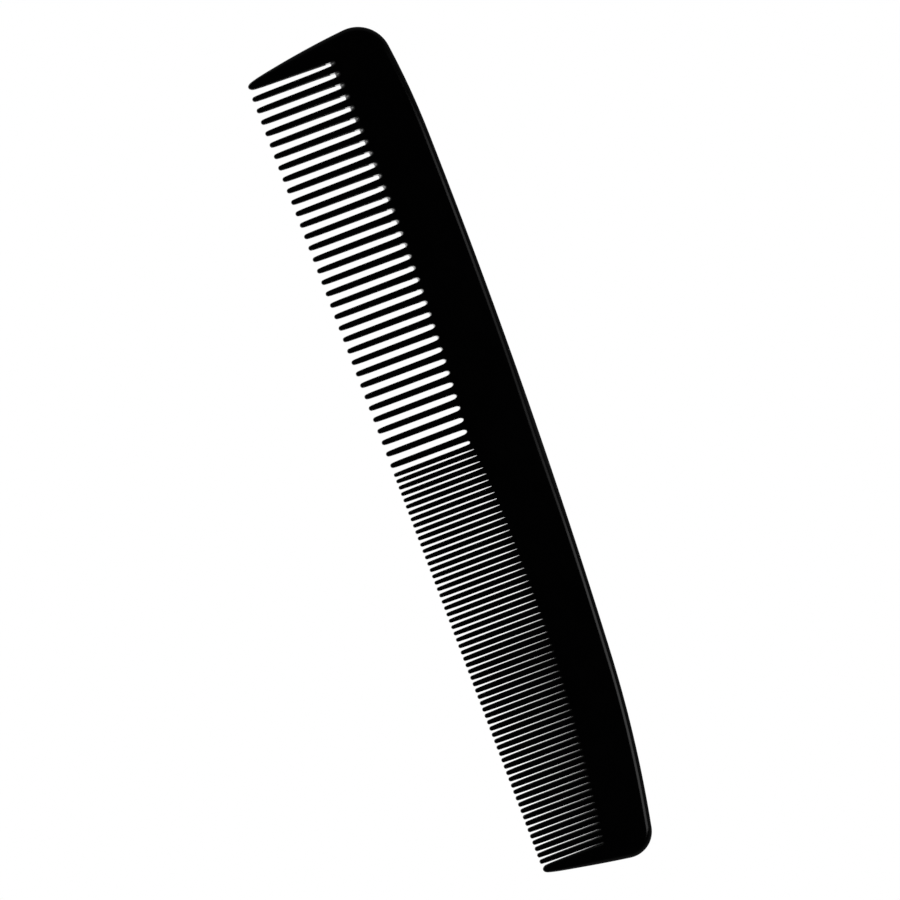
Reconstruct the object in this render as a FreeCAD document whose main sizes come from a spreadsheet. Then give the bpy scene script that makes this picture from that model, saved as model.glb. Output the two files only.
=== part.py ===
import FreeCAD, Part

import math
import os
import Sketcher

# A one-piece moulded hair comb, drawn lying flat: +X runs from the coarse end to the fine end, +Y from
# the tooth tips to the back, +Z up through the thickness. Sketches count Y from the line of the tips,
# and every finished sub-part is then moved down by half the width, which centres the comb on the origin.

DIMENSIONS = {
    # Overall sizes, in millimetres.
    "comb_length": 179.0,
    "comb_width": 31.6,
    "comb_thickness": 4.0,
    # The back: one very long arc, a tighter shoulder at each end, then the two corners.
    "back_radius": 1494.0,
    "back_peak_x": -43.0,
    "coarse_shoulder_radius": 164.0,
    "coarse_shoulder_x": -64.0,
    "fine_shoulder_radius": 261.0,
    "fine_shoulder_x": 49.0,
    "coarse_corner_radius": 7.1,
    "fine_corner_radius": 5.5,
    # The two ends, slightly bowed, each running down to the rounded tip of a guard tooth.
    "coarse_end_radius": 194.0,
    "fine_end_radius": 444.0,
    "guard_tip_radius": 0.9,
    "coarse_guard_tip_x": -85.4,
    "fine_guard_tip_x": 85.6,
    "coarse_guard_root_x": -84.15,
    "fine_guard_root_x": 84.65,
    # The root line: one arch over the coarse teeth and one over the fine teeth, meeting in a cusp.
    "cusp_x": -1.5,
    "coarse_root_radius": 546.0,
    "coarse_root_peak_x": -51.9,
    "fine_root_peak_x": 20.6,
    "fine_root_peak": 18.46,
    "fine_root_rise_radius": 185.0,
    "fine_root_fall_radius": 415.0,
    # Side profile of the teeth: an even taper, from full thickness at the top of the tooth blank, which
    # is buried in the spine, down to the tips.
    "tip_thickness": 1.3,
    "tooth_blank_height": 20.6,
    # The two rows of teeth. Half widths are taken at the top of the tooth blank.
    "coarse_pitch": 2.5,
    "coarse_count": 33,
    "coarse_first_x": -82.67,
    "coarse_tip_radius": 0.55,
    "coarse_root_half_width": 0.69,
    "coarse_edge_radius": 0.3,
    "fine_pitch": 1.385,
    "fine_count": 62,
    "fine_first_x": -0.63,
    "fine_tip_radius": 0.38,
    "fine_root_half_width": 0.545,
    "fine_edge_radius": 0.2,
    # Edge rounding of the spine and the guards.
    "spine_edge_radius": 1.5,
    "guard_edge_radius": 0.5,
    # How far a cutting shape stands clear of what it cuts.
    "clearance": 3.0,
}

doc = FreeCAD.newDocument("hair_comb")


# ---------------------------------------------------------------- the sheet of driving dimensions

def make_sheet():
    sheet = doc.addObject("Spreadsheet::Sheet", "dims")
    for row, (alias, value) in enumerate(DIMENSIONS.items(), start=1):
        sheet.set(f"A{row}", alias)
        sheet.set(f"B{row}", str(value))
        sheet.setAlias(f"B{row}", alias)
    doc.recompute()
    return sheet


# ---------------------------------------------------------------- small helpers

START, END, CENTRE = 1, 2, 3          # the named points of a sketch's arc or line
ORIGIN = (-1, 1)                      # the sketch's own origin
UP = FreeCAD.Vector(0, 0, 1)


def point(x, y):
    return FreeCAD.Vector(x, y, 0)


def arc_between(first, last, radius, centre_on_right):
    """An arc from first to last; it bulges away from its centre, which lies to one side of the way."""
    a, b = point(*first), point(*last)
    chord = b - a
    across = UP.cross(chord).normalize()
    if centre_on_right:
        across = across * -1
    centre = (a + b) * 0.5 + across * math.sqrt(radius ** 2 - (chord.Length / 2) ** 2)
    angles = [math.atan2(p.y - centre.y, p.x - centre.x) for p in (a, b)]
    begin, finish = reversed(angles) if centre_on_right else angles
    if finish < begin:
        finish += 2 * math.pi
    return Part.ArcOfCircle(Part.Circle(centre, UP, radius), begin, finish)


def line_between(first, last):
    return Part.LineSegment(point(*first), point(*last))


def new_body(name):
    body = doc.addObject("PartDesign::Body", name)
    body.AllowCompound = True
    return body


def new_sketch(body, name, plane):
    sketch = body.newObject("Sketcher::SketchObject", name)
    support = [f for f in body.Origin.OriginFeatures if f.Role == plane][0]
    sketch.AttachmentSupport = [(support, "")]
    sketch.MapMode = "FlatFace"
    return sketch


class Constraints:
    """Collects a sketch's constraints, and binds the sized ones to the sheet once they are in place."""

    def __init__(self, sketch):
        self.sketch = sketch

    def join(self, kind, first, second):
        self.sketch.addConstraint(Sketcher.Constraint(kind, *first, *second))

    def alone(self, kind, *where):
        self.sketch.addConstraint(Sketcher.Constraint(kind, *where))

    def size(self, name, expression, kind, *where):
        value = evaluate(expression)
        number = self.sketch.addConstraint(Sketcher.Constraint(kind, *where, value))
        self.sketch.renameConstraint(number, name)
        self.sketch.setExpression(f"Constraints.{name}", expression)

    def measure_height(self, name, where):
        """A reference size that other objects' expressions read: the height of a point over the tips."""
        number = self.sketch.addConstraint(Sketcher.Constraint("DistanceY", *ORIGIN, *where, 1.0))
        self.sketch.setDriving(number, False)
        self.sketch.renameConstraint(number, name)

    def place(self, name, where, x=None, y=None):
        """Hold a point of the sketch at x and y, measured from the sketch's origin."""
        if x is not None:
            self.size(f"{name}_x", x, "DistanceX", *ORIGIN, *where)
        if y is not None:
            self.size(f"{name}_y", y, "DistanceY", *ORIGIN, *where)


def evaluate(expression):
    value = dims.evalExpression(expression.replace("dims.", ""))
    return float(getattr(value, "Value", value))


def edge_numbers(shape, wanted):
    """Numbers of the edges whose middle point satisfies wanted(point)."""
    numbers = []
    for number, edge in enumerate(shape.Edges, start=1):
        middle = edge.valueAt((edge.FirstParameter + edge.LastParameter) / 2)
        if wanted(middle):
            numbers.append(number)
    return numbers


def on_a_face(middle):
    """True for an edge of the comb's upper or lower face, which slopes together towards the tips."""
    mid_height = evaluate("dims.comb_thickness / 2")
    return abs(middle.z - mid_height) > evaluate("dims.tip_thickness / 2") - 0.01


# ---------------------------------------------------------------- the frame: spine and guards in plan

def draw_frame_outline(sketch):
    """The comb's outline without its teeth, clockwise from the coarse guard's inner edge."""
    # Rough places of the joints: the constraints below move them to their exact ones.
    corners = [
        (-84.2, 18.4), (-84.6, 0.8), (-86.2, 0.8), (-89.4, 22.3), (-83.4, 30.0), (-64.0, 31.4),
        (49.0, 28.7), (85.1, 23.9), (89.4, 17.7), (86.4, 0.8), (84.8, 0.8), (84.6, 13.6),
        (20.6, 18.46), (-1.5, 17.1),
    ]
    radii = [
        None, "guard_tip_radius", "coarse_end_radius", "coarse_corner_radius", "coarse_shoulder_radius",
        "back_radius", "fine_shoulder_radius", "fine_corner_radius", "fine_end_radius",
        "guard_tip_radius", None, "fine_root_fall_radius", "fine_root_rise_radius", "coarse_root_radius",
    ]
    (inner_coarse, tip_coarse, end_coarse, corner_coarse, shoulder_coarse, back, shoulder_fine,
     corner_fine, end_fine, tip_fine, inner_fine, fall_fine, rise_fine, root_coarse) = range(14)
    root_arcs = (fall_fine, rise_fine, root_coarse)

    for number, radius in enumerate(radii):
        first, last = corners[number], corners[(number + 1) % len(corners)]
        if radius is None:
            sketch.addGeometry(line_between(first, last))
        else:
            sketch.addGeometry(arc_between(first, last, DIMENSIONS[radius], number not in root_arcs))

    def begins(number):
        backwards = radii[number] and number not in root_arcs
        return number, END if backwards else START

    def ends(number):
        backwards = radii[number] and number not in root_arcs
        return number, START if backwards else END

    rules = Constraints(sketch)
    for number in range(len(radii)):
        following = (number + 1) % len(radii)
        smooth = number not in (inner_fine, rise_fine, root_coarse)
        rules.join("Tangent" if smooth else "Coincident", ends(number), begins(following))
    for number, radius in enumerate(radii):
        if radius:
            rules.size(f"radius_{number}", f"dims.{radius}", "Radius", number)

    rules.place("back_centre", (back, CENTRE), "dims.back_peak_x", "dims.comb_width - dims.back_radius")
    rules.place("coarse_shoulder", begins(back), "dims.coarse_shoulder_x")
    rules.place("fine_shoulder", ends(back), "dims.fine_shoulder_x")
    rules.place("coarse_corner", (corner_coarse, CENTRE), "dims.coarse_corner_radius - dims.comb_length / 2")
    rules.place("fine_corner", (corner_fine, CENTRE), "dims.comb_length / 2 - dims.fine_corner_radius")
    rules.place("coarse_tip", (tip_coarse, CENTRE), "dims.coarse_guard_tip_x", "dims.guard_tip_radius")
    rules.place("fine_tip", (tip_fine, CENTRE), "dims.fine_guard_tip_x", "dims.guard_tip_radius")
    rules.place("fine_root_centre", (fall_fine, CENTRE), "dims.fine_root_peak_x",
                "dims.fine_root_peak - dims.fine_root_fall_radius")
    rules.place("fine_root_peak", ends(fall_fine), "dims.fine_root_peak_x")
    rules.place("cusp", ends(rise_fine), "dims.cusp_x")
    rules.place("coarse_root_centre", (root_coarse, CENTRE), "dims.coarse_root_peak_x")
    rules.place("coarse_root_end", ends(root_coarse), "dims.coarse_guard_root_x")
    rules.place("fine_root_end", begins(fall_fine), "dims.fine_guard_root_x")
    # Each guard tooth is divided from the spine level with the corner where it meets the root line.
    rules.measure_height("coarse_guard_height", ends(root_coarse))
    rules.measure_height("fine_guard_height", begins(fall_fine))


def make_frame():
    """The slab that spine and guards are divided from."""
    body = new_body("frame_slab")
    sketch = new_sketch(body, "frame_outline", "XY_Plane")
    draw_frame_outline(sketch)
    pad = body.newObject("PartDesign::Pad", "frame_pad")
    pad.Profile = sketch
    pad.setExpression("Length", "dims.comb_thickness")
    body.Tip = pad
    doc.recompute()
    return body, sketch


# ---------------------------------------------------------------- spine and guards

def boolean(kind, name, base, tool):
    result = doc.addObject(f"Part::{kind}", name)
    result.Base = base
    result.Tool = tool
    doc.recompute()
    return result


def make_guard_zone(end, side):
    """The space that one guard tooth fills: full thickness at the spine, tapering to the tip."""
    zone = doc.addObject("Part::Wedge", f"{end}_guard_zone")
    inner = f"dims.{end}_guard_root_x - {side} * dims.clearance / 2"
    outer = f"{side} * (dims.comb_length / 2 + dims.clearance)"
    low, high = (outer, inner) if side < 0 else (inner, outer)
    middle = "dims.comb_thickness / 2"
    for prefix in ("X", "X2"):
        zone.setExpression(f"{prefix}min", low)
        zone.setExpression(f"{prefix}max", high)
    zone.Ymin = 0
    zone.setExpression("Ymax", f"frame_outline.Constraints.{end}_guard_height")
    zone.setExpression("Zmin", f"{middle} - dims.tip_thickness / 2")
    zone.setExpression("Zmax", f"{middle} + dims.tip_thickness / 2")
    zone.Z2min = 0
    zone.setExpression("Z2max", "dims.comb_thickness")
    return zone


def make_guard_box(end, side):
    """The corner of the frame, below the spine, that the spine leaves to one guard tooth."""
    box = doc.addObject("Part::Box", f"{end}_guard_box")
    outermost = "dims.comb_length / 2 + dims.clearance"
    innermost = f"abs(dims.{end}_guard_root_x) - dims.clearance / 2"
    box.setExpression("Length", f"{outermost} - ({innermost})")
    box.setExpression("Width", f"frame_outline.Constraints.{end}_guard_height + dims.clearance * 1 mm")
    box.setExpression("Height", "dims.comb_thickness + 2 * dims.clearance")
    box.setExpression("Placement.Base.x", f"-({outermost})" if side < 0 else innermost)
    box.setExpression("Placement.Base.y", "-dims.clearance")
    box.setExpression("Placement.Base.z", "-dims.clearance")
    return box


def make_spine(frame):
    rest = frame
    for end, side in (("coarse", -1), ("fine", 1)):
        rest = boolean("Cut", f"spine_less_{end}_guard", rest, make_guard_box(end, side))
    beyond_division = evaluate("dims.comb_length / 2 - dims.spine_edge_radius")
    above_teeth = evaluate("dims.tooth_blank_height")

    def outer(middle):
        return on_a_face(middle) and (abs(middle.x) > beyond_division or middle.y > above_teeth)

    spine = doc.addObject("Part::Fillet", "spine")
    spine.Base = rest
    radius = evaluate("dims.spine_edge_radius")
    spine.Edges = [(number, radius, radius) for number in edge_numbers(rest.Shape, outer)]
    doc.recompute()
    return spine


def guard_roundings(shape, height):
    """Edge radii for a guard: its outer edges ease from the spine's rounding to the tip's own."""
    spine_radius, tip_radius = evaluate("dims.spine_edge_radius"), evaluate("dims.guard_edge_radius")
    easing, even = [], []
    for number in edge_numbers(shape, lambda middle: on_a_face(middle) and middle.y < height - 0.1):
        edge = shape.Edges[number - 1]
        first, last = edge.valueAt(edge.FirstParameter), edge.valueAt(edge.LastParameter)
        reaches_spine = max(first.y, last.y) > height - 0.1
        if not reaches_spine or max(abs(first.x), abs(last.x)) < evaluate("dims.fine_guard_tip_x") + 1:
            even.append((number, tip_radius, tip_radius))
        elif first.y > last.y:
            easing.append((number, spine_radius, tip_radius))
        else:
            easing.append((number, tip_radius, spine_radius))
    return easing + even


def make_guard(frame, end, side):
    zone = make_guard_zone(end, side)
    blank = boolean("Common", f"{end}_guard_blank", frame, zone)
    guard = doc.addObject("Part::Fillet", f"{end}_guard")
    guard.Base = blank
    guard.Edges = guard_roundings(blank.Shape, zone.Ymax.Value)
    doc.recompute()
    return guard


# ---------------------------------------------------------------- teeth

def draw_tooth_plan(sketch, row):
    """One tooth seen from above: two sides that close in slightly towards a round tip."""
    centre = DIMENSIONS[f"{row}_first_x"]
    tip = DIMENSIONS[f"{row}_tip_radius"]
    half = DIMENSIONS[f"{row}_root_half_width"]
    top = DIMENSIONS["tooth_blank_height"]
    left, tip_arc, right, across = range(4)
    sketch.addGeometry(line_between((centre - half, top), (centre - tip, tip)))
    sketch.addGeometry(Part.ArcOfCircle(Part.Circle(point(centre, tip), UP, tip), math.pi, 2 * math.pi))
    sketch.addGeometry(line_between((centre + tip, tip), (centre + half, top)))
    sketch.addGeometry(line_between((centre + half, top), (centre - half, top)))
    rules = Constraints(sketch)
    rules.join("Tangent", (left, END), (tip_arc, START))
    rules.join("Tangent", (tip_arc, END), (right, START))
    rules.join("Coincident", (right, END), (across, START))
    rules.join("Coincident", (across, END), (left, START))
    rules.alone("Horizontal", across)
    rules.size("tip_radius", f"dims.{row}_tip_radius", "Radius", tip_arc)
    rules.place("tip_centre", (tip_arc, CENTRE), f"dims.{row}_first_x", f"dims.{row}_tip_radius")
    rules.place("top_left", (left, START), f"dims.{row}_first_x - dims.{row}_root_half_width",
                "dims.tooth_blank_height")
    rules.place("top_right", (right, END), f"dims.{row}_first_x + dims.{row}_root_half_width")


def draw_taper(sketch):
    """Side view of what the taper removes: a thin triangle above the tooth and one below it."""
    blank_top, beyond = evaluate("dims.tooth_blank_height"), -1.0
    thickness, tip = evaluate("dims.comb_thickness"), evaluate("dims.tip_thickness")
    slope = (thickness - tip) / 2 / blank_top
    depth = slope * (blank_top - beyond)
    for face, into in ((thickness, -1), (0.0, 1)):
        first = sketch.GeometryCount
        shallow, far, deep = (blank_top, face), (beyond, face), (beyond, face + into * depth)
        sketch.addGeometry(line_between(shallow, far))
        sketch.addGeometry(line_between(far, deep))
        sketch.addGeometry(line_between(deep, shallow))
        rules = Constraints(sketch)
        for number in range(3):
            rules.join("Coincident", (first + number, END), (first + (number + 1) % 3, START))
        rules.alone("Horizontal", first)
        rules.alone("Vertical", first + 1)
        height = "dims.comb_thickness" if into < 0 else None
        side = "upper" if into < 0 else "lower"
        rules.place(f"{side}_start", (first, START), "dims.tooth_blank_height", height)
        if height is None:
            rules.join("PointOnObject", (first, START), (-1,))
        rules.size(f"{side}_reach", "dims.tooth_blank_height + 1", "DistanceX", first, END, first, START)
        fall = "(dims.comb_thickness - dims.tip_thickness) / 2 * (1 + 1 / dims.tooth_blank_height)"
        order = (first + 1, END, first + 1, START) if into < 0 else (first + 1, START, first + 1, END)
        rules.size(f"{side}_fall", fall, "DistanceY", *order)


def make_tooth_row(row, root_block):
    """One tooth, repeated along X, and then cut off where the spine begins."""
    body = new_body(f"{row}_tooth_row")
    plan = new_sketch(body, f"{row}_tooth_plan", "XY_Plane")
    draw_tooth_plan(plan, row)
    pad = body.newObject("PartDesign::Pad", f"{row}_tooth_pad")
    pad.Profile = plan
    pad.setExpression("Length", "dims.comb_thickness")
    doc.recompute()
    full_volume = pad.Shape.Volume

    side_view = new_sketch(body, f"{row}_tooth_taper", "YZ_Plane")
    draw_taper(side_view)
    pocket = body.newObject("PartDesign::Pocket", f"{row}_tooth_pocket")
    pocket.Profile = side_view
    pocket.Type = "ThroughAll"
    pocket.SideType = "Symmetric"
    doc.recompute()
    if not pocket.Shape.Volume < 0.8 * full_volume:
        raise RuntimeError(f"the taper of the {row} tooth cut nothing")

    top = evaluate("dims.tooth_blank_height")
    rounding = body.newObject("PartDesign::Fillet", f"{row}_tooth_rounding")
    lengthwise = edge_numbers(pocket.Shape, lambda middle: on_a_face(middle) and middle.y < top - 0.01
                              and abs(middle.x - evaluate(f"dims.{row}_first_x")) > 0.05)
    rounding.Base = (pocket, [f"Edge{number}" for number in lengthwise])
    rounding.setExpression("Radius", f"dims.{row}_edge_radius")
    doc.recompute()

    pattern = body.newObject("PartDesign::LinearPattern", f"{row}_tooth_pattern")
    pattern.Originals = [rounding]
    pattern.TransformMode = "Whole shape"
    x_axis = [f for f in body.Origin.OriginFeatures if f.Role == "X_Axis"][0]
    pattern.Direction = (x_axis, [""])
    pattern.Mode = "Spacing"
    pattern.setExpression("Offset", f"dims.{row}_pitch")
    pattern.setExpression("Occurrences", f"dims.{row}_count")
    pattern.Refine = False
    body.Tip = pattern
    doc.recompute()
    return boolean("Cut", f"{row}_teeth", body, root_block)


def make_root_block(outline):
    """The frame's outline as a block thicker than the comb, which trims the teeth to the root line."""
    block = doc.addObject("Part::Extrusion", "root_block")
    block.Base = outline
    block.DirMode = "Normal"
    block.Solid = True
    block.setExpression("LengthFwd", "dims.comb_thickness + dims.clearance")
    block.setExpression("LengthRev", "dims.clearance")
    doc.recompute()
    return block


# ---------------------------------------------------------------- the whole comb

def check(part, solids):
    shape = part.Shape
    if shape.isNull() or not shape.isValid():
        raise RuntimeError(f"{part.Label} has no valid shape")
    if len(shape.Solids) != solids:
        raise RuntimeError(f"{part.Label} has {len(shape.Solids)} solids, not {solids}")


def check_document():
    for item in doc.Objects:
        if "Invalid" in item.State or "Error" in item.State:
            raise RuntimeError(f"{item.Label} failed: {item.State}")


dims = make_sheet()
frame_slab, frame_outline = make_frame()
trimming_block = make_root_block(frame_outline)

sub_parts = {
    make_spine(frame_slab): 1,
    make_guard(frame_slab, "coarse", -1): 1,
    make_guard(frame_slab, "fine", 1): 1,
    make_tooth_row("coarse", trimming_block): DIMENSIONS["coarse_count"],
    make_tooth_row("fine", trimming_block): DIMENSIONS["fine_count"],
}
for sub_part in sub_parts:
    sub_part.setExpression("Placement.Base.y", "-dims.comb_width / 2")
doc.recompute()

check_document()
os.makedirs("parts", exist_ok=True)
for sub_part, solid_count in sub_parts.items():
    check(sub_part, solid_count)
    sub_part.Shape.exportStep(f"parts/{sub_part.Label}.step")
    box = sub_part.Shape.BoundBox
    print(f"{sub_part.Label}: {solid_count} solids, volume {sub_part.Shape.Volume:.1f}, "
          f"x {box.XMin:.2f}..{box.XMax:.2f}, y {box.YMin:.2f}..{box.YMax:.2f}, z {box.ZMin:.2f}..{box.ZMax:.2f}")
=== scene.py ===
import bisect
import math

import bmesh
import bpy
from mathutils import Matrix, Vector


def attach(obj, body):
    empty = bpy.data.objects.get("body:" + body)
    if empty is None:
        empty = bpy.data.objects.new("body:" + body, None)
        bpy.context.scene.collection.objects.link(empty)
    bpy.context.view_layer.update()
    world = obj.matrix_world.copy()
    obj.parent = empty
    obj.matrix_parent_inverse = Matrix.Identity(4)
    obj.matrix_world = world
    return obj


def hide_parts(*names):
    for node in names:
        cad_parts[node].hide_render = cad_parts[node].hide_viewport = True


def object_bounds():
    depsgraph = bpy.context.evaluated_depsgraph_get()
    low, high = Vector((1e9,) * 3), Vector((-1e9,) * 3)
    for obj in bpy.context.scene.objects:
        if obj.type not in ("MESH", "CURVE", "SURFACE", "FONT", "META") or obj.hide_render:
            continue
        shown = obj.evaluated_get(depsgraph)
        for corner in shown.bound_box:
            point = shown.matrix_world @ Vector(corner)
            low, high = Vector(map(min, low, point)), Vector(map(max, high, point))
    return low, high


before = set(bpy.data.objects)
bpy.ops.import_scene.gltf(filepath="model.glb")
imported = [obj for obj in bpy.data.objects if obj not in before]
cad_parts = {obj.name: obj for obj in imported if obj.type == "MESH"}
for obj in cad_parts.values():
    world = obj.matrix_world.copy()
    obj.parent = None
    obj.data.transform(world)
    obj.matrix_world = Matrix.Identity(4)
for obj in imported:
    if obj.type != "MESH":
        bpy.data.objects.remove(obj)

# The looks of the one-piece hair comb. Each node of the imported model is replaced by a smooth
# skin with rounded edges, and the five skins meet without a step, as in the one moulding.
#
# Shapes are worked out in millimetres: x along the comb, h up from the tips of the teeth
# towards the back, and z up or down from the parting plane, half way through the thickness.

cad_low, cad_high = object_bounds()
MM = 0.001              # in metres

# ---------------------------------------------------------------- driving dimensions

HALF_THICKNESS = (cad_high.z - cad_low.z) / 2 / MM
TIP_HALF_THICKNESS = 0.65
CROWN = 0.04            # the faces are this much lower at the roots than where they are highest
CROWN_HEIGHT = 6.0      # they are highest this far above the roots
CROWN_LIMIT = 1.5       # and fall no further beyond this many times that distance
KNEE = 0.3              # teeth and guards reach the full thickness this far above the roots
KNEE_SOFTNESS = 0.03    # rounding of the bend in the faces there
BAND = 1.7              # the teeth pieces run this far past the roots, into the spine

# The outer edge from the coarse guard's tip, round the back, to the fine guard's tip.
OUTER_JOINTS = [
    (-86.282, 0.719), (-89.471, 22.359), (-83.337, 30.034), (-64.0, 31.452),
    (49.0, 28.765), (85.099, 23.992), (89.437, 17.77), (86.484, 0.729),
]
OUTER_RADII = [194, 7.1, 164, 1494, 261, 5.5, 444]
OUTER_INSET = 0.02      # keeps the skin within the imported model, whose curves are faceted

# The inner sides of the two guards, from the tip to the root line.
COARSE_GUARD_LINE = [(-84.5, 0.882), (-84.15, 18.513)]
FINE_GUARD_LINE = [(84.7, 0.896), (84.65, 13.488)]
GUARD_TIP_RADIUS = 0.9
# Close to its tip a guard is slimmer: its inner and outer sides draw in by this much.
COARSE_GUARD_SLIMMING = (0.22, 0.3)
FINE_GUARD_SLIMMING = (0.2, 0.25)
SLIMMING_HEIGHT = 4.0   # they begin to draw in at this height
SLIMMING_POWER = 3      # and do so by this power of the distance below it

# The line of the roots: three arcs, each given by its highest point and radius.
CUSP_X = -1.5
COARSE_ROOTS = (-51.9, 19.47, 546)
FINE_ROOTS_RISE = (20.6, 18.46, 185)
FINE_ROOTS_FALL = (20.6, 18.46, 415)

# The two rows of teeth. A tooth's half width at a height is "width", plus "widening" for each
# millimetre of height, plus a flare that fades out below the roots, less a nip that fades out
# above the tip. "tip" is the height at which the rounding of the tip begins. The rounded end of
# a gap is "root_rise" high and stops "margin" short of the root line. "edge" is the width and
# depth of the rounding along the sides.
COARSE = {
    "first": -82.67, "pitch": 2.5, "count": 33,
    "width": 0.628, "widening": 0.0042, "flare": 0.17, "flare_length": 1.2,
    "nip": 0.10, "nip_length": 0.7, "tip": 0.53, "root_rise": 1.0,
    "margin": 0.21, "edge": (0.26, 0.36), "arc_steps": 10, "tip_steps": 8,
}
FINE = {
    "first": -0.63, "pitch": 1.385, "count": 62,
    "width": 0.51, "widening": 0.0035, "flare": 0.15, "flare_length": 1.0,
    "nip": 0.105, "nip_length": 1.44, "tip": 0.38, "root_rise": 0.8,
    "margin": 0.1, "edge": (0.17, 0.3), "arc_steps": 8, "tip_steps": 6,
}
# Between two teeth of the fine row the gaps come to end more squarely, which changes these
# values of the row by this much.
SQUARER_TEETH = (16, 32)
LATE_FLARE = -0.143
LATE_RISE = -0.3
LATE_MARGIN = -0.25
# Between two more its teeth become wider by twice this.
WIDER_TEETH = (24, 32)
LATE_WIDTH = 0.05
END_WIDENING = -0.0037  # the change in "widening" from there to the fine guard
RIDGE = 0.92            # the first coarse gap ends in a wall that slopes back by this much
RIDGE_FOOT = 0.79       # half way through the thickness it ends lower by this share of that
RIDGE_BEND = 1.6        # 1 would be a straight slope; above 1 it steepens towards the middle
RIDGE_SQUARENESS = 1.2  # the first gap ends this much more squarely than in an ellipse
SHARED_RISE = 0.45      # rounding of the one gap between the two rows

BACK_EDGE = (1.45, 0.425, 0.2)  # width, bend per mm and corner radius of the spine's soft edge
BACK_EDGE_SWELL = (0.25, 3.0, 15.0)     # it widens by this much, about this x, over this reach
GUARD_EDGE = (0.5, 0.45)        # width and depth of the rounding at the guards' tips
INNER_EDGE = (0.3, 0.36)        # the same, on the guards' inner sides
GUARD_EASING = 14.0             # the guards' outer edge has grown to the spine's at this height
SEAM_HEIGHT = 0.08              # half the height of the fine bead left by the mould's parting line
SEAM_TOP = SEAM_HEIGHT / 3      # half the height of its flat top
SEAM_DEPTH = 0.02               # how far it stands out

# How finely the meshes are divided.
POINT_DECIMALS = 5      # points that agree to this many decimals of a millimetre are one
SIDE_STEPS = 9
BAND_ROWS = 4
GUARD_STEPS = 20
GUARD_TIP_STEPS = 14
GUARD_COLUMNS = 24
SPINE_ROWS = 12
ROUNDING_STEPS = 8
CORNER_STEPS = 3        # the last of those, where the spine's edge turns its small corner
HALVINGS = 60           # when a place is found by halving a stretch again and again
SLOPE_STEP = 0.01       # the stretch over which a tooth's slope is measured


# ---------------------------------------------------------------- curves and heights

def mix(a, b, share):
    return a + (b - a) * share


def smooth_step(low, high, value):
    share = min(max((value - low) / (high - low), 0.0), 1.0)
    return share * share * (3 - 2 * share)


def eased_shares(steps):
    """Shares from 0 up to but without 1, closer together near both ends."""
    return [0.5 - 0.5 * math.cos(math.pi * i / steps) for i in range(steps)]


class Arc:
    """A clockwise arc between two joints. Places on it are given by the length from its start."""

    def __init__(self, start, end, radius):
        start, end = Vector(start), Vector(end)
        chord = end - start
        to_centre = Vector((chord.y, -chord.x)).normalized()
        rise = math.sqrt(radius ** 2 - (chord.length / 2) ** 2)
        self.radius = radius
        self.centre = (start + end) / 2 + to_centre * rise
        self.first = math.atan2(start.y - self.centre.y, start.x - self.centre.x)
        self.length = 2 * radius * math.asin(chord.length / 2 / radius)

    def at(self, distance):
        """The point this far along, drawn in by the inset, and the direction further in."""
        angle = self.first - distance / self.radius
        outward = Vector((math.cos(angle), math.sin(angle)))
        return self.centre + outward * (self.radius - OUTER_INSET), -outward


OUTER_ARCS = [
    Arc(start, end, radius)
    for start, end, radius in zip(OUTER_JOINTS, OUTER_JOINTS[1:], OUTER_RADII)
]
OUTER_STARTS = [sum(arc.length for arc in OUTER_ARCS[:i]) for i in range(len(OUTER_ARCS) + 1)]
OUTER_LENGTH = OUTER_STARTS[-1]


def outer(distance):
    """A place on the outer edge, by the length from the coarse guard's tip."""
    index = bisect.bisect_right(OUTER_STARTS[:-1], distance) - 1
    return OUTER_ARCS[index].at(distance - OUTER_STARTS[index])


def outer_at_height(height, fine_end):
    """The length along the outer edge at which one of the two ends is at this height."""
    low, high = (OUTER_LENGTH, OUTER_STARTS[-2]) if fine_end else (0.0, OUTER_STARTS[1])
    for _ in range(HALVINGS):
        middle = (low + high) / 2
        if outer(middle)[0].y < height:
            low = middle
        else:
            high = middle
    return (low + high) / 2


def root_height(x):
    """Height of the line of the roots."""
    if x < CUSP_X:
        peak, top, radius = COARSE_ROOTS
    elif x < FINE_ROOTS_RISE[0]:
        peak, top, radius = FINE_ROOTS_RISE
    else:
        peak, top, radius = FINE_ROOTS_FALL
    return top - radius + math.sqrt(radius ** 2 - (x - peak) ** 2)


def level_root_height(x):
    """The same, kept level across the guards."""
    return root_height(min(max(x, COARSE_GUARD_LINE[1][0]), FINE_GUARD_LINE[1][0]))


def cut_height(x):
    """Where the teeth pieces and guards end and the spine begins."""
    return level_root_height(x) + BAND


def half_thickness(x, h):
    """Height of the face above the parting plane: crowned or, where that is lower, tapering
    evenly towards the tips, with a soft bend between the two."""
    root = level_root_height(x)
    away = min(abs(h - (root + CROWN_HEIGHT)) / CROWN_HEIGHT, CROWN_LIMIT)
    crowned = HALF_THICKNESS - CROWN * away ** 2
    taper = mix(TIP_HALF_THICKNESS, HALF_THICKNESS, h / (root + KNEE))
    low, high = sorted((crowned, taper))
    return low - KNEE_SOFTNESS * math.log1p(math.exp((low - high) / KNEE_SOFTNESS))


# ---------------------------------------------------------------- meshes

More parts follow.
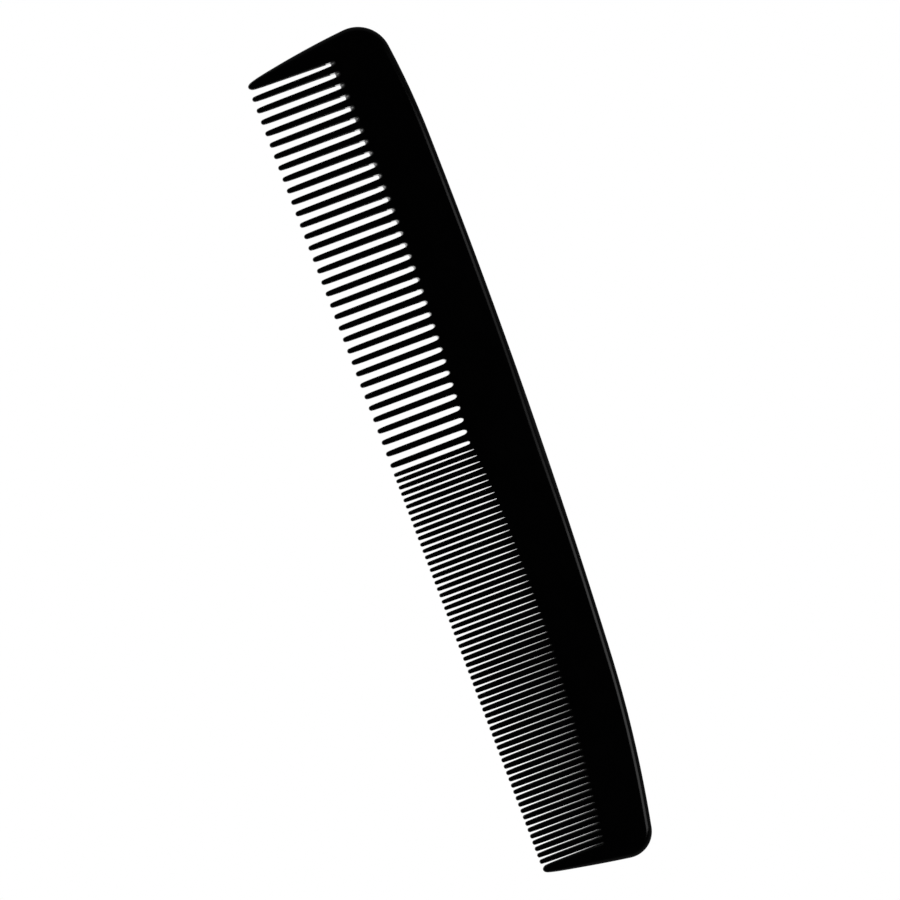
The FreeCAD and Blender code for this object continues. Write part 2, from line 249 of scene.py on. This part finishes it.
class Piece:
    """A closed mesh, the same above and below the parting plane."""

    # All pieces share these, so that neighbours have the very same points along their borders.
    points = []
    numbers = {}

    def __init__(self, name, node):
        self.name = name
        self.node = node
        self.skin = []
        self.gap_sides = set()
        self.walls = []

    def number(self, point):
        key = tuple(round(value, POINT_DECIMALS) + 0.0 for value in point)   # + 0.0 undoes -0.0
        if key not in Piece.numbers:
            Piece.numbers[key] = len(Piece.points)
            Piece.points.append(key)
        return Piece.numbers[key]

    def add(self, faces, corners):
        """A face, unless so many of its corners are one point that nothing is left of it."""
        numbers = [self.number(point) for point in corners]
        kept = [n for i, n in enumerate(numbers) if n != numbers[i - 1]]
        if len(set(kept)) > 2:
            faces.append(kept)

    def patch(self, rows, in_gap=False):
        """Quads between rows of points on the upper half, and their mirror images."""
        before = len(self.skin)
        for row, next_row in zip(rows, rows[1:]):
            for a, b, c, d in zip(row, row[1:], next_row[1:], next_row):
                self.add(self.skin, (a, b, c, d))
                self.add(self.skin, [(x, h, -z) for x, h, z in (d, c, b, a)])
        if in_gap:
            self.gap_sides.update(range(before, len(self.skin)))

    def wall(self, line):
        """An inner wall where the piece meets its neighbour, between a line and its image."""
        for a, b in zip(line, line[1:]):
            self.add(self.walls, (a, b, (b[0], b[1], -b[2]), (a[0], a[1], -a[2])))


def on_face(x, h):
    """The point of the upper face at this place in the plan."""
    return (x, h, half_thickness(x, h))


def round_edge(across, down):
    """A quarter of an ellipse: how far in and how far down each of its points lies."""
    turns = [math.pi / 2 * i / ROUNDING_STEPS for i in range(ROUNDING_STEPS + 1)]
    return [(across * (1 - math.sin(turn)), down * (1 - math.cos(turn))) for turn in turns]


def soft_edge(across, bend, corner):
    """A face that falls away more and more towards the edge, then a small rounded corner."""
    steps = ROUNDING_STEPS - CORNER_STEPS
    last_slope = math.atan(bend * (across - corner / 2))
    reach = across - corner * (1 - math.sin(last_slope))
    edge = [(across - reach * i / steps, bend * (reach * i / steps) ** 2 / 2)
            for i in range(steps + 1)]
    drop = edge[-1][1]
    for i in range(1, CORNER_STEPS + 1):
        turn = mix(last_slope, math.pi / 2, i / CORNER_STEPS)
        edge.append((
            corner * (1 - math.sin(turn)),
            drop + corner * (math.cos(last_slope) - math.cos(turn)),
        ))
    return edge


def mix_edges(first, second, share):
    return [(mix(a[0], b[0], share), mix(a[1], b[1], share)) for a, b in zip(first, second)]


def edge_profile(place, edge, shift=0.0):
    """Points from the border of the face, round the edge, to the parting plane. The border is
    moved up the comb by the shift, and the points below it by less and less."""
    point, inward = place
    inset = point + inward * edge[0][0]
    top = half_thickness(inset.x, inset.y + shift)
    steps = [(max(depth, SEAM_DEPTH), top - drop) for depth, drop in edge]
    steps += [(SEAM_DEPTH, SEAM_HEIGHT), (0.0, SEAM_TOP), (0.0, 0.0)]
    profile = []
    for depth, z in steps:
        spot = point + inward * depth
        profile.append((spot.x, spot.y + shift * (z / top) ** RIDGE_BEND, z))
    return profile


def between(a, b, columns):
    """Points on the face from a to b, both ends kept as they are."""
    inner = [
        on_face(mix(a[0], b[0], i / columns), mix(a[1], b[1], i / columns))
        for i in range(1, columns)
    ]
    return [a] + inner + [b]


# ---------------------------------------------------------------- rows of teeth

def tooth_centres(kind):
    return [kind["first"] + kind["pitch"] * i for i in range(kind["count"])]


def ridge(x):
    """How far the end wall of a gap slopes back: most in the first gap, none in the fine row."""
    first, last = COARSE["first"], COARSE["first"] + COARSE["pitch"] * COARSE["count"]
    return RIDGE * min(max((last - x) / (last - first), 0.0), 1.0)


def later(kind, x, teeth):
    """0 along the coarse row and the first fine teeth, rising to 1 between the given two."""
    first, last = (kind["first"] + kind["pitch"] * tooth for tooth in teeth)
    return smooth_step(first, last, x) if kind is FINE else 0.0


def towards_end(x):
    """0 as far as the last of the teeth that become wider, rising evenly to the fine guard."""
    start = FINE["first"] + FINE["pitch"] * WIDER_TEETH[1]
    return max((x - start) / (FINE_GUARD_LINE[0][0] - start), 0.0)


def root_rise(kind, x):
    """How high the rounded end of a gap is."""
    return kind["root_rise"] + LATE_RISE * later(kind, x, SQUARER_TEETH)


def half_width(kind, centre, h):
    """Half the width of the tooth with this centre, at one height."""
    root = root_height(centre) - ridge(centre)
    width = kind["width"] + LATE_WIDTH * later(kind, centre, WIDER_TEETH)
    widening = kind["widening"] + END_WIDENING * towards_end(centre)
    flare = kind["flare"] + LATE_FLARE * later(kind, centre, SQUARER_TEETH)
    flare *= math.exp((h - root) / kind["flare_length"])
    nip = kind["nip"] * math.exp((kind["tip"] - h) / kind["nip_length"])
    return width + widening * h + flare - nip


def tooth_edge(kind):
    return round_edge(*kind["edge"])


def tooth_side(kind, centre, side, h):
    """The side of a tooth at one height: side is -1 on the left and 1 on the right."""
    reach = half_width(kind, centre, h)
    slope = (half_width(kind, centre, h + SLOPE_STEP) - reach) / SLOPE_STEP
    inward = Vector((-side, slope)).normalized()
    return Vector((centre + side * reach, h)), inward


def guard_side(line, h):
    """The x of a guard's inner side at one height."""
    (tip_x, tip_h), (root_x, root_h) = line
    return mix(tip_x, root_x, (h - tip_h) / (root_h - tip_h))


def gap_base(kind, x, rise):
    """The height at which the rounded end of a gap begins."""
    margin = kind["margin"] + LATE_MARGIN * later(kind, x, SQUARER_TEETH)
    return root_height(x) - margin - ridge(x) * RIDGE_FOOT - rise


def gap_end(kind, sides, rise, edges):
    """Profiles round the end of one gap, from its left side to its right side."""
    left_x, right_x = sides
    middle, reach = (left_x + right_x) / 2, (right_x - left_x) / 2
    base = gap_base(kind, middle, rise)
    # The end is half an ellipse, or a squarer curve where this power is above 2.
    power = 2 + RIDGE_SQUARENESS * ridge(middle) / RIDGE
    # Where the two edges differ, the wider gives way to the narrower in its own half.
    change = (0.0, 0.5) if edges[0][0][0] > edges[1][0][0] else (0.5, 1.0)
    profiles = []
    for step in range(kind["arc_steps"] + 1):
        angle = math.pi * (1 - step / kind["arc_steps"])
        cosine, sine = math.cos(angle), max(math.sin(angle), 0.0)
        along, up = math.copysign(abs(cosine) ** (2 / power), cosine), sine ** (2 / power)
        point = Vector((middle + reach * along, base + rise * up))
        facing = Vector((
            math.copysign(abs(along) ** (power - 1), cosine) / reach,
            up ** (power - 1) / rise,
        ))
        deeper = facing.normalized()
        edge = mix_edges(*edges, smooth_step(*change, step / kind["arc_steps"]))
        profiles.append(edge_profile((point, deeper), edge, ridge(middle) * up))
    return profiles


def tooth(piece, kind, centre, left_root, right_root):
    """One tooth below its two roots, which are profiles of the gap ends beside it."""
    left_top, right_top = left_root[-1][1], right_root[-1][1]
    shares = eased_shares(SIDE_STEPS)
    tip = kind["tip"]
    reach = half_width(kind, centre, tip)

    def side_profile(side, top, share):
        place = tooth_side(kind, centre, side, mix(tip, top, share))
        return edge_profile(place, tooth_edge(kind))

    def tip_profile(angle):
        outward = Vector((math.cos(angle) / reach, math.sin(angle) / tip)).normalized()
        point = Vector((centre + reach * math.cos(angle), tip + tip * math.sin(angle)))
        return edge_profile((point, -outward), tooth_edge(kind))

    half = kind["tip_steps"] // 2
    turn = [math.pi / 2 * i / half for i in range(1, half + 1)]
    left = [tip_profile(math.pi + angle) for angle in turn][::-1]
    right = [tip_profile(-angle) for angle in turn][::-1]
    left += [side_profile(-1, left_top, share) for share in shares] + [left_root]
    right += [side_profile(1, right_top, share) for share in shares] + [right_root]
    right[0] = left[0]      # both sides begin at the very tip
    piece.patch(left, in_gap=True)
    piece.patch(right, in_gap=True)
    piece.patch([between(a[0], b[0], 2) for a, b in zip(left, right)])


def tooth_row(piece, kind, gaps):
    """A row of teeth with the band above its roots. Each gap is a list of profiles. Gives back
    the columns of points of the band."""
    feet = []
    for gap in gaps:
        piece.patch(gap, in_gap=kind is FINE)
    for centre, left_gap, right_gap in zip(tooth_centres(kind), gaps, gaps[1:]):
        tooth(piece, kind, centre, left_gap[-1], right_gap[0])
        feet += [profile[0] for profile in left_gap]
        feet.append(between(left_gap[-1][0], right_gap[0][0], 2)[1])
    feet += [profile[0] for profile in gaps[-1]]
    columns = []
    for x, h, z in feet:
        top = cut_height(x)
        rises = [on_face(x, mix(h, top, i / BAND_ROWS)) for i in range(1, BAND_ROWS + 1)]
        columns.append([(x, h, z)] + rises)
    piece.patch(columns)
    tops = [column[-1] for column in columns]
    for line in (tops, columns[0], gaps[0][0], columns[-1], gaps[-1][-1]):
        piece.wall(line)
    return columns


def inner_gaps(kind):
    """The ends of the gaps between the teeth of one row."""
    gaps = []
    edge = tooth_edge(kind)
    for centre in tooth_centres(kind)[1:]:
        rise = root_rise(kind, centre)
        height = gap_base(kind, centre - kind["pitch"] / 2, rise)
        sides = (
            tooth_side(kind, centre - kind["pitch"], 1, height)[0].x,
            tooth_side(kind, centre, -1, height)[0].x,
        )
        gaps.append(gap_end(kind, sides, rise, (edge, edge)))
    return gaps


def coarse_guard_gap():
    """The end of the gap between the coarse guard and the first tooth."""
    first = tooth_centres(COARSE)[0]
    rise = root_rise(COARSE, first)
    height = gap_base(COARSE, first, rise)
    sides = (guard_side(COARSE_GUARD_LINE, height), tooth_side(COARSE, first, -1, height)[0].x)
    return gap_end(COARSE, sides, rise, (round_edge(*INNER_EDGE), tooth_edge(COARSE)))


def fine_guard_gap():
    """The end of the gap between the last tooth and the fine guard."""
    last = tooth_centres(FINE)[-1]
    rise = root_rise(FINE, last)
    height = gap_base(FINE, last, rise)
    sides = (tooth_side(FINE, last, 1, height)[0].x, guard_side(FINE_GUARD_LINE, height))
    return gap_end(FINE, sides, rise, (tooth_edge(FINE), round_edge(*INNER_EDGE)))


def shared_gap():
    """The end of the gap where the two rows meet, as a left half and a right half."""
    height = gap_base(COARSE, CUSP_X, SHARED_RISE)
    sides = (
        tooth_side(COARSE, tooth_centres(COARSE)[-1], 1, height)[0].x,
        tooth_side(FINE, tooth_centres(FINE)[0], -1, height)[0].x,
    )
    whole = gap_end(COARSE, sides, SHARED_RISE, (tooth_edge(COARSE), tooth_edge(FINE)))
    half = len(whole) // 2
    return whole[:half + 1], whole[half:]


# ---------------------------------------------------------------- guards

def outer_profile(distance):
    """The rounding at a place on the outer edge, which is plainer towards the guards' tips."""
    place = outer(distance)
    share = smooth_step(0.0, GUARD_EASING, place[0].y)
    swell, middle, reach = BACK_EDGE_SWELL
    across, bend, corner = BACK_EDGE
    across += swell * math.exp(-((place[0].x - middle) / reach) ** 2)
    edge = mix_edges(round_edge(*GUARD_EDGE), soft_edge(across, bend, corner), share)
    return edge_profile(place, edge)


def slimmed(point, line, fine_end):
    """The place of a point of a guard, once the guard is drawn in towards its tip."""
    x, h, z = point
    slimming = max(1 - h / SLIMMING_HEIGHT, 0.0) ** SLIMMING_POWER
    if slimming == 0:
        return point
    inner_x = guard_side(line, h)
    outer_x = outer(outer_at_height(h, fine_end))[0].x
    inner_pull, outer_pull = FINE_GUARD_SLIMMING if fine_end else COARSE_GUARD_SLIMMING
    outward = math.copysign(1.0, outer_x - inner_x)
    pull = mix(inner_pull, -outer_pull, (x - inner_x) / (outer_x - inner_x))
    return (x + outward * pull * slimming, h, z)


def guard(piece, line, root_profile, column, fine_end):
    """A guard: its outer edge, its tip and its inner side, up to where the spine begins. Gives
    back its upper border, from the outer edge inwards."""
    tip_x, tip_h = line[0]
    base = root_profile[-1][1]
    outer_end = outer(OUTER_LENGTH if fine_end else 0.0)[0]
    if fine_end:
        tip_arc = Arc(outer_end, (tip_x, tip_h), GUARD_TIP_RADIUS)
    else:
        tip_arc = Arc((tip_x, tip_h), outer_end, GUARD_TIP_RADIUS)
    tip_profiles = []
    for i in range(GUARD_TIP_STEPS + 1):
        share = i / GUARD_TIP_STEPS
        edge = mix_edges(round_edge(*INNER_EDGE), round_edge(*GUARD_EDGE), share)
        distance = tip_arc.length * (1 - share if fine_end else share)
        tip_profiles.append(edge_profile(tip_arc.at(distance), edge))
    apex = GUARD_TIP_STEPS // 2     # where the outer edge and the inner side meet

    into_guard = Vector((1.0 if fine_end else -1.0, 0.0))
    inner = [root_profile]
    for share in eased_shares(GUARD_STEPS)[1:]:
        h = mix(base, tip_h, share)
        place = (Vector((guard_side(line, h), h)), into_guard)
        inner.append(edge_profile(place, round_edge(*INNER_EDGE)))
    inner += tip_profiles[:apex + 1]

    heights = [point[1] for point in reversed(column)]
    heights += [mix(base, outer_end.y, share) for share in eased_shares(GUARD_STEPS)[1:]]
    outers = [outer_profile(outer_at_height(height, fine_end)) for height in heights]
    outers += tip_profiles[apex:][::-1]
    inner_points = column[:0:-1] + [profile[0] for profile in inner]
    rows = [between(a[0], b, GUARD_COLUMNS) for a, b in zip(outers, inner_points)]

    def slim(lines):
        return [[slimmed(point, line, fine_end) for point in points] for points in lines]

    piece.patch(slim(outers))
    piece.patch(slim(inner), in_gap=True)
    piece.patch(slim(rows))
    for border in (rows[0], outers[0], column, root_profile):
        piece.wall(border)
    return rows[0]


# ---------------------------------------------------------------- spine

def spine(piece, border, columns):
    """The spine, from the border it shares with the other pieces to the back. Its first and
    last columns, which stand on the guards, spread along the ends and round the corners."""
    start = outer_at_height(cut_height(COARSE_GUARD_LINE[1][0]), False)
    end = outer_at_height(cut_height(FINE_GUARD_LINE[1][0]), True)
    bend_in, bend_out = OUTER_STARTS[2], OUTER_STARTS[5]    # one corner's end, the other's start
    left_x, right_x = border[columns][0], border[-1 - columns][0]
    profiles = []
    last = len(border) - 1
    for i, point in enumerate(border):
        if i < columns:
            distance = mix(start, bend_in, i / columns)
        elif i > last - columns:
            distance = mix(end, bend_out, (last - i) / columns)
        else:
            distance = mix(bend_in, bend_out, (point[0] - left_x) / (right_x - left_x))
        profiles.append(outer_profile(distance))
    piece.patch(profiles)
    rows = [border]
    for row in range(1, SPINE_ROWS):
        share = row / SPINE_ROWS
        rows.append([
            on_face(mix(low[0], profile[0][0], share), mix(low[1], profile[0][1], share))
            for low, profile in zip(border, profiles)
        ])
    rows.append([profile[0] for profile in profiles])
    piece.patch(rows)
    for line in (border, profiles[0], profiles[-1]):
        piece.wall(line)


# ---------------------------------------------------------------- the five pieces

coarse_teeth = Piece("comb_coarse_teeth", "coarse_teeth")
fine_teeth = Piece("comb_fine_teeth", "fine_teeth")
coarse_guard = Piece("comb_coarse_guard", "coarse_guard")
fine_guard = Piece("comb_fine_guard", "fine_guard")
comb_spine = Piece("comb_spine", "spine")
pieces = [comb_spine, coarse_guard, fine_guard, coarse_teeth, fine_teeth]

coarse_half_gap, fine_half_gap = shared_gap()
coarse_gaps = [coarse_guard_gap()] + inner_gaps(COARSE) + [coarse_half_gap]
fine_gaps = [fine_half_gap] + inner_gaps(FINE) + [fine_guard_gap()]
coarse_columns = tooth_row(coarse_teeth, COARSE, coarse_gaps)
fine_columns = tooth_row(fine_teeth, FINE, fine_gaps)
coarse_top = guard(coarse_guard, COARSE_GUARD_LINE, coarse_gaps[0][0], coarse_columns[0], False)
fine_top = guard(fine_guard, FINE_GUARD_LINE, fine_gaps[-1][-1], fine_columns[-1], True)
row_tops = [column[-1] for column in coarse_columns[1:] + fine_columns[1:]]
spine(comb_spine, coarse_top + row_tops + fine_top[-2::-1], GUARD_COLUMNS)


def to_metres(point):
    """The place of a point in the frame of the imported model."""
    x, h, z = point
    middle = (cad_low.z + cad_high.z) / 2
    return (x * MM, cad_low.y + h * MM, middle + z * MM)


def outward_mesh(name, points, faces):
    """A mesh with the corners of its faces in the order that turns them outwards."""
    mesh = bpy.data.meshes.new(name)
    mesh.from_pydata(points, [], faces)
    work = bmesh.new()
    work.from_mesh(mesh)
    bmesh.ops.recalc_face_normals(work, faces=work.faces)
    work.to_mesh(mesh)
    work.free()
    return mesh


def point_normals(points, faces):
    """The normals at the points of a skin, to which each face adds by its area."""
    mesh = outward_mesh("scratch", points, faces)
    normals = [Vector() for _ in points]
    for polygon in mesh.polygons:
        for n in polygon.vertices:
            normals[n] += polygon.normal * polygon.area
    bpy.data.meshes.remove(mesh)
    return [normal.normalized() for normal in normals]


# ---------------------------------------------------------------- black moulded plastic

PLASTIC_BLACK = (0.0024, 0.0024, 0.0026, 1.0)
WORN_GREY = (0.016, 0.016, 0.016, 1.0)
POLISHED_ROUGHNESS = (0.10, 0.16)       # the least and the most, where nothing has worn
SCRATCH_ROUGHNESS = 0.10                # what a scratch adds to that
WEAR_ROUGHNESS = 0.30                   # what wear adds
TIP_WEAR = 0.4                          # how worn the tips are, where rounded edges reach 0.25
TIP_WEAR_HEIGHT = 3 * MM
SIDE_TURN = (0.12, 0.3)                 # up to the first, the normal's Z means a side,
                                        # and from the second it no longer does
CLOUDING = 0.08                         # the most that shows of the worn grey where unworn


def black_plastic(name, side_roughness):
    """Glossy black plastic: orange-peel skin, hairline scratches, worn edges and tips. The
    side roughness is added on upright surfaces."""
    material = bpy.data.materials.new(name)
    material.use_nodes = True
    nodes = material.node_tree.nodes
    links = material.node_tree.links
    shader = nodes["Principled BSDF"]
    shader.inputs["IOR"].default_value = 1.5
    shader.inputs["Metallic"].default_value = 0.0
    coordinates = nodes.new("ShaderNodeTexCoord")

    def parts(vector):
        node = nodes.new("ShaderNodeSeparateXYZ")
        links.new(vector, node.inputs["Vector"])
        return node.outputs

    def noise(scale, detail, stretch=(1, 1, 1), turn=0.0):
        mapping = nodes.new("ShaderNodeMapping")
        mapping.inputs["Scale"].default_value = stretch
        mapping.inputs["Rotation"].default_value = (0.0, 0.0, turn)
        texture = nodes.new("ShaderNodeTexNoise")
        texture.inputs["Scale"].default_value = scale
        texture.inputs["Detail"].default_value = detail
        links.new(coordinates.outputs["Object"], mapping.inputs["Vector"])
        links.new(mapping.outputs["Vector"], texture.inputs["Vector"])
        return texture.outputs["Fac"]

    def remap(value, low, high, to_low=0.0, to_high=1.0):
        node = nodes.new("ShaderNodeMapRange")
        for name, number in zip(
            ("From Min", "From Max", "To Min", "To Max"), (low, high, to_low, to_high)
        ):
            node.inputs[name].default_value = number
        links.new(value, node.inputs["Value"])
        return node.outputs["Result"]

    def math_node(operation, *values):
        node = nodes.new("ShaderNodeMath")
        node.operation = operation
        for socket, value in zip(node.inputs, values):
            if isinstance(value, (int, float)):
                socket.default_value = value
            else:
                links.new(value, socket)
        return node.outputs["Value"]

    def bump(height, strength, distance, under=None):
        node = nodes.new("ShaderNodeBump")
        node.inputs["Strength"].default_value = strength
        node.inputs["Distance"].default_value = distance
        links.new(height, node.inputs["Height"])
        if under is not None:
            links.new(under, node.inputs["Normal"])
        return node.outputs["Normal"]

    # Edges and tips, where hair and pockets have rubbed the gloss away in patches.
    upright = math_node("ABSOLUTE", parts(coordinates.outputs["Normal"])["Z"])
    on_edge = math_node("MULTIPLY", upright, math_node("SUBTRACT", 1.0, upright))
    height = parts(coordinates.outputs["Object"])["Y"]
    near_tip = remap(height, cad_low.y, cad_low.y + TIP_WEAR_HEIGHT, to_low=TIP_WEAR, to_high=0.0)
    patchy = remap(noise(scale=420, detail=3), 0.42, 0.66)
    worn = math_node("MULTIPLY", math_node("MAXIMUM", on_edge, near_tip), patchy)

    # Hairline scratches, most of them along the comb, some across, where it has been handled.
    along = remap(noise(scale=1, detail=2, stretch=(70, 5200, 5200), turn=0.05), 0.63, 0.74)
    steep = noise(scale=1, detail=2, stretch=(60, 4300, 4300), turn=1.2)
    across = remap(steep, 0.66, 0.76, to_high=0.7)
    handled = remap(noise(scale=75, detail=2), 0.4, 0.68)
    scratches = math_node("MULTIPLY", math_node("MAXIMUM", along, across), handled)

    least, most = POLISHED_ROUGHNESS
    roughness = remap(noise(scale=130, detail=3), 0.3, 0.7, least, most)
    roughness = math_node("MULTIPLY_ADD", scratches, SCRATCH_ROUGHNESS, roughness)
    roughness = math_node("MULTIPLY_ADD", worn, WEAR_ROUGHNESS, roughness)
    on_side = remap(upright, *SIDE_TURN, to_low=side_roughness, to_high=0.0)
    links.new(math_node("ADD", roughness, on_side), shader.inputs["Roughness"])

    tint = nodes.new("ShaderNodeMix")
    tint.data_type = "RGBA"
    tint.inputs["A"].default_value = PLASTIC_BLACK
    tint.inputs["B"].default_value = WORN_GREY
    cloudy = remap(noise(scale=230, detail=2), 0.3, 0.7)
    shade = math_node("MULTIPLY_ADD", cloudy, CLOUDING, worn)
    links.new(shade, tint.inputs["Factor"])
    links.new(tint.outputs["Result"], shader.inputs["Base Color"])

    flow = bump(noise(scale=95, detail=1), strength=0.10, distance=0.2 * MM)
    peel = bump(noise(scale=1500, detail=2), strength=0.10, distance=0.01 * MM, under=flow)
    marks = bump(scratches, strength=0.12, distance=0.01 * MM, under=peel)
    links.new(marks, shader.inputs["Normal"])
    return material


# The steel that moulds the gaps between the teeth is left less polished than the rest.
polished = black_plastic("black_moulded_plastic", side_roughness=0.0)
matt_sided = black_plastic("black_moulded_plastic_in_gaps", side_roughness=0.6)


# ---------------------------------------------------------------- the pieces' objects

# Normals come from the whole skin, so that the pieces shade as one surface where they meet.
metres = [to_metres(point) for point in Piece.points]
whole_normals = point_normals(metres, [face for piece in pieces for face in piece.skin])


def build(piece):
    """The Blender object of a piece: its skin shaded smooth, its inner walls flat."""
    used = sorted({n for face in piece.skin + piece.walls for n in face})
    place = {n: i for i, n in enumerate(used)}
    faces = [[place[n] for n in face] for face in piece.skin + piece.walls]
    mesh = outward_mesh(piece.name, [metres[n] for n in used], faces)
    mesh.polygons.foreach_set("use_smooth", [i < len(piece.skin) for i in range(len(faces))])
    in_gap = [int(i in piece.gap_sides) for i in range(len(faces))]
    mesh.materials.append(polished)
    if any(in_gap):
        mesh.materials.append(matt_sided)
        mesh.polygons.foreach_set("material_index", in_gap)
    corner_normals = []
    for polygon in mesh.polygons:
        if polygon.index < len(piece.skin):
            corner_normals += [whole_normals[used[corner]] for corner in polygon.vertices]
        else:
            corner_normals += [polygon.normal] * len(polygon.vertices)
    mesh.normals_split_custom_set(corner_normals)
    made = bpy.data.objects.new(piece.name, mesh)
    bpy.context.scene.collection.objects.link(made)
    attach(made, "root")
    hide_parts(piece.node)


for piece in pieces:
    build(piece)


# ---------------------------------------------------------------- floor, backdrop and light

def glowing(name, strength):
    """A pale surface lit evenly from within, as on a light table."""
    material = bpy.data.materials.new(name)
    material.use_nodes = True
    nodes = material.node_tree.nodes
    nodes.clear()
    glow = nodes.new("ShaderNodeEmission")
    glow.inputs["Color"].default_value = (1.0, 1.0, 1.0, 1.0)
    glow.inputs["Strength"].default_value = strength
    output = nodes.new("ShaderNodeOutputMaterial")
    material.node_tree.links.new(glow.outputs["Emission"], output.inputs["Surface"])
    return material


def ring_mesh(name, rings, segments=64):
    """A surface of rings round the Z axis, each a radius and a height, closed at radius 0."""
    shape = bmesh.new()
    loops = []
    for radius, height in rings:
        if radius == 0:
            loops.append([shape.verts.new((0, 0, height))] * segments)
            continue
        turns = [2 * math.pi * i / segments for i in range(segments)]
        loops.append([
            shape.verts.new((radius * math.cos(turn), radius * math.sin(turn), height))
            for turn in turns
        ])
    for loop, next_loop in zip(loops, loops[1:]):
        for i in range(segments):
            corners = [loop[i], loop[i - 1], next_loop[i - 1], next_loop[i]]
            shape.faces.new(list(dict.fromkeys(corners)))
    mesh = bpy.data.meshes.new(name)
    shape.to_mesh(mesh)
    shape.free()
    made = bpy.data.objects.new(name, mesh)
    bpy.context.scene.collection.objects.link(made)
    return made


FLOOR_RADIUS = 3.0
DOME_STEPS = 24
DOME_DROP = 0.01        # the backdrop begins this far below the floor
pale = glowing("pale_light_table", 1.0)
floor = ring_mesh("floor", [(0, cad_low.z), (FLOOR_RADIUS, cad_low.z)])
floor.data.materials.append(pale)

arch = [math.pi / 2 * i / DOME_STEPS for i in range(DOME_STEPS)]
dome_rings = [
    (FLOOR_RADIUS * math.cos(turn), FLOOR_RADIUS * math.sin(turn) - DOME_DROP) for turn in arch
]
backdrop = ring_mesh("backdrop", dome_rings + [(0, FLOOR_RADIUS - DOME_DROP)])
backdrop.data.materials.append(pale)
backdrop.visible_glossy = False
backdrop.visible_diffuse = False
backdrop.visible_shadow = False
backdrop.visible_transmission = False


def aim(thing, target):
    """Turns a light so that it shines at the target."""
    direction = Vector(target) - thing.location
    thing.rotation_euler = direction.to_track_quat("-Z", "Y").to_euler()


def soft_light(name, location, size, radiance, target):
    """A rectangular softbox of even brightness."""
    light = bpy.data.lights.new(name, "AREA")
    light.shape = "RECTANGLE"
    light.size, light.size_y = size
    light.energy = radiance * math.pi * size[0] * size[1]
    made = bpy.data.objects.new(name, light)
    made.location = location
    bpy.context.scene.collection.objects.link(made)
    aim(made, target)


centre = (cad_low + cad_high) / 2
LIGHT_DISTANCE = 1.25
LIGHT_HEIGHT = math.radians(65)         # above the horizon, behind the comb's back
LIGHT_DEPTH = 0.42
# Side by side along the comb: where each begins and ends, in metres, and how bright it is.
LIGHT_BANDS = [(-0.152, -0.075, 0.75), (-0.075, 0.062, 0.24), (0.062, 0.36, 1.08)]
for i, (start, end, radiance) in enumerate(LIGHT_BANDS):
    offset = Vector((
        (start + end) / 2,
        LIGHT_DISTANCE * math.cos(LIGHT_HEIGHT),
        LIGHT_DISTANCE * math.sin(LIGHT_HEIGHT),
    ))
    target = centre + Vector((offset.x, 0.0, 0.0))
    soft_light(f"softbox_{i}", centre + offset, (end - start, LIGHT_DEPTH), radiance, target)

# The studio is palest low down and fades to black overhead: sine of the height, brightness.
SKY_FADE = [(0.3, 0.35), (0.45, 0.2), (0.6, 0.09), (0.85, 0.0)]
world = bpy.data.worlds.new("studio")
bpy.context.scene.world = world
world.use_nodes = True
sky = world.node_tree.nodes
sky_links = world.node_tree.links
direction = sky.new("ShaderNodeTexCoord")
height = sky.new("ShaderNodeSeparateXYZ")
fade = sky.new("ShaderNodeValToRGB")
fade.color_ramp.elements.remove(fade.color_ramp.elements[0])
for i, (sine, strength) in enumerate(SKY_FADE):
    stop = fade.color_ramp.elements[0] if i == 0 else fade.color_ramp.elements.new(sine)
    stop.position = sine
    stop.color = (strength, strength, strength, 1.0)
sky_links.new(direction.outputs["Generated"], height.inputs["Vector"])
sky_links.new(height.outputs["Z"], fade.inputs["Fac"])
sky_links.new(fade.outputs["Color"], sky["Background"].inputs["Color"])
sky["Background"].inputs["Strength"].default_value = 1.0

# ---------------------------------------------------------------- camera

VIEW_WIDTH = 184.05 * MM        # what the picture spans at the comb
CAMERA_DISTANCE = 1.0
CAMERA_TURN = math.radians(69.3474)
CAMERA_OFFSET = (-1.52 * MM, -3.2 * MM)         # from above the middle of the comb
SENSOR_WIDTH = 36.0             # in mm, as the lens is

camera_data = bpy.data.cameras.new("camera")
camera = bpy.data.objects.new("camera", camera_data)
bpy.context.scene.collection.objects.link(camera)
camera_data.sensor_width = SENSOR_WIDTH
camera_data.lens = SENSOR_WIDTH * CAMERA_DISTANCE / VIEW_WIDTH
camera.location = centre + Vector((*CAMERA_OFFSET, CAMERA_DISTANCE))
camera.rotation_euler = (0.0, 0.0, CAMERA_TURN)
bpy.context.scene.camera = camera
bpy.context.scene.view_settings.view_transform = "Standard"
